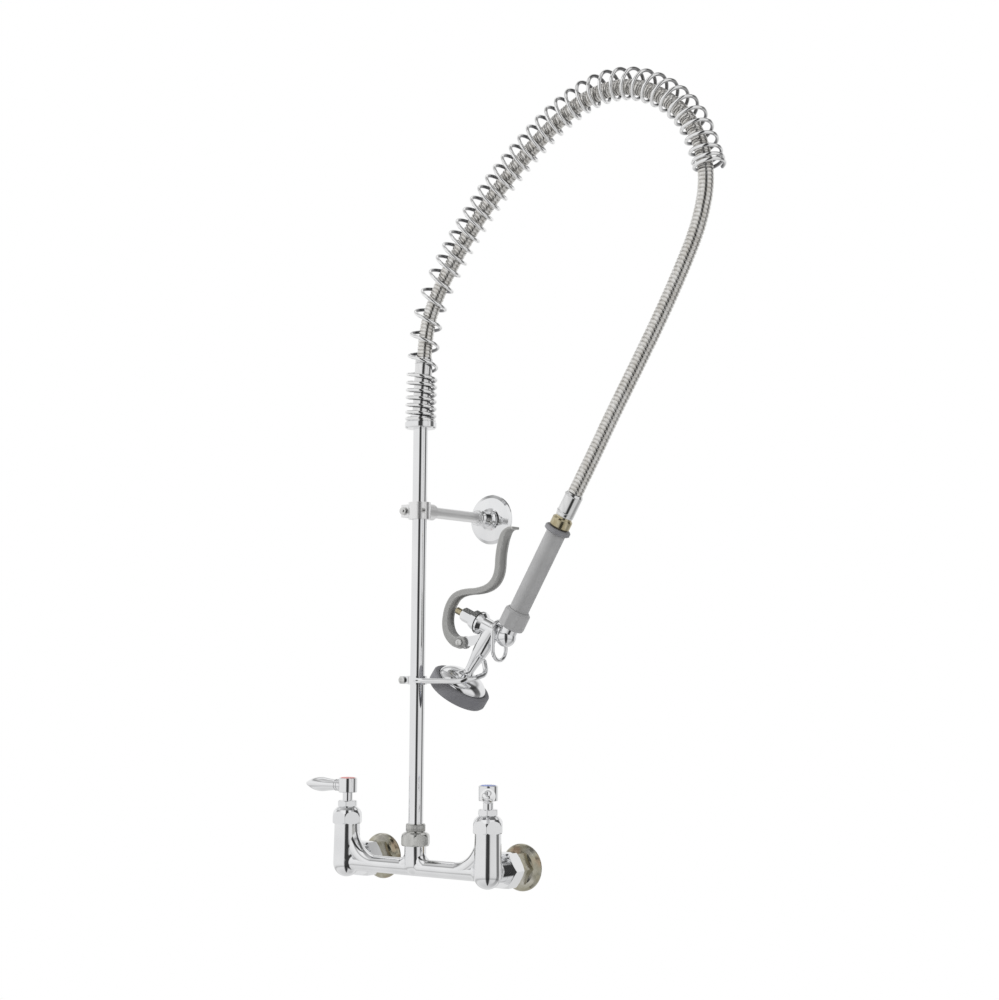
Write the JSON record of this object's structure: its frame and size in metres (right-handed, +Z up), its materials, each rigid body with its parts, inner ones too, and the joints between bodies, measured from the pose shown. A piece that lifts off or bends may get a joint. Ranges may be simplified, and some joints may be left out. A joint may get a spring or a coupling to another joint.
{
  "type": "pre rinse faucet",
  "caption": "Wall-mounted commercial pre-rinse faucet: mixing body, swivel riser, overhead spring and hose, and a squeeze spray valve resting in a finger hook.",
  "frame": {"origin": "midway between the two inlets, on the back plane of their wall flanges", "axes": "+X to the right seen from the front, towards the cold side; +Y into the wall; +Z up along the riser"},
  "size_m": [0.5693, 0.2022, 0.9222],
  "materials": {
    "chrome": "bright polished chrome plate on brass",
    "spring_steel": "bright plated spring wire",
    "hose_steel": "interlocked stainless strip, slightly warm",
    "ferrule_steel": "satin stainless",
    "nickel_bronze": "nickel-plated bronze, satin with a warm tint",
    "brass": "pale machined brass",
    "grip_plastic": "mid gray moulded sleeve",
    "bumper_rubber": "dark gray moulded rubber",
    "seal_rubber": "black seal rubber",
    "lever_gray": "satin warm gray coating",
    "spray_plate": "satin stainless plate with jets",
    "hot_red": "glossy red",
    "cold_blue": "glossy blue"
  },
  "bodies": {
    "base": {"faucet_body": "chrome", "hot_coupling_nut": "chrome", "cold_coupling_nut": "chrome", "hot_inlet_flange": "nickel_bronze", "cold_inlet_flange": "nickel_bronze", "inlet_washers": "seal_rubber", "hot_bonnet_nut": "chrome", "cold_bonnet_nut": "chrome", "hot_packing_nut": "chrome", "cold_packing_nut": "chrome", "hot_cartridge": "brass", "cold_cartridge": "brass", "valve_seats": "brass", "riser_union_nut": "chrome", "bracket_clamp": "chrome", "bracket_clamp_screw": "ferrule_steel", "bracket_pipe": "chrome", "bracket_flange": "chrome", "bracket_set_screw": "ferrule_steel"},
    "hot_handle": {"hot_stem": "chrome", "hot_lever": "chrome", "hot_index": "hot_red", "hot_handle_screw": "ferrule_steel"},
    "cold_handle": {"cold_stem": "chrome", "cold_lever": "chrome", "cold_index": "cold_blue", "cold_handle_screw": "ferrule_steel"},
    "riser": {"riser_swivel_stem": "chrome", "union_o_rings": "seal_rubber", "riser_pipe": "chrome", "finger_hook": "chrome", "finger_hook_screw": "ferrule_steel", "finger_hook_nut": "ferrule_steel", "spring_nut": "chrome", "overhead_spring": "spring_steel", "hose_inlet_ferrule": "ferrule_steel", "hose": "hose_steel"},
    "valve": {"hose_outlet_ferrule": "ferrule_steel", "hose_swivel_nut": "brass", "grip_tube": "ferrule_steel", "grip_sleeve": "grip_plastic", "grip_end": "grip_plastic", "grip_collar": "grip_plastic", "valve_body": "chrome", "valve_bonnet": "chrome", "valve_bonnet_nut": "chrome", "bonnet_washer": "bumper_rubber", "lever_pivot_screw": "ferrule_steel", "spray_dome": "chrome", "spray_face": "spray_plate", "spray_bumper": "bumper_rubber", "spray_face_screw": "ferrule_steel", "plunger_spring": "spring_steel"},
    "squeeze_lever": {"squeeze_lever": "lever_gray"},
    "plunger": {"plunger": "brass"},
    "hold_ring": {"hold_ring": "chrome"}
  },
  "joints": [
    {"name": "hot_handle_turn", "type": "hinge", "parent": "base", "child": "hot_handle", "pos_m": [-0.1016, -0.07, 0.08], "axis": [0, 0, 1], "range_deg": [0, 90]},
    {"name": "cold_handle_turn", "type": "hinge", "parent": "base", "child": "cold_handle", "pos_m": [0.1016, -0.07, 0.08], "axis": [0, 0, 1], "range_deg": [-34.5, 55.5]},
    {"name": "riser_swivel", "type": "hinge", "parent": "base", "child": "riser", "pos_m": [0, -0.07, 0.04], "axis": [0, 0, 1], "range_deg": [-180, 0]},
    {"name": "valve_unhook", "type": "slide", "parent": "riser", "child": "valve", "axis": [0, 1, 0], "range_m": [0, 0.03], "deforming": ["hose"]},
    {"name": "lever_squeeze", "type": "hinge", "parent": "valve", "child": "squeeze_lever", "pos_m": [0.0645, -0.07, 0.2573], "axis": [0, 1, 0], "range_deg": [0, 9.5], "stiffness_Nm_per_rad": 1.5, "springref_deg": -5.73},
    {"name": "plunger_travel", "type": "slide", "parent": "valve", "child": "plunger", "axis": [0.9121, 0, -0.4099], "range_m": [0, 0.005], "deforming": ["plunger_spring"]},
    {"name": "hold_ring_swing", "type": "hinge", "parent": "valve", "child": "hold_ring", "pos_m": [0.11496, -0.07, 0.27916], "axis": [0, 1, 0], "range_deg": [-8, 8]}
  ],
  "couplings": [
    {"joint": "plunger_travel", "follows": "lever_squeeze", "m_per_rad": 0.0301}
  ]
}
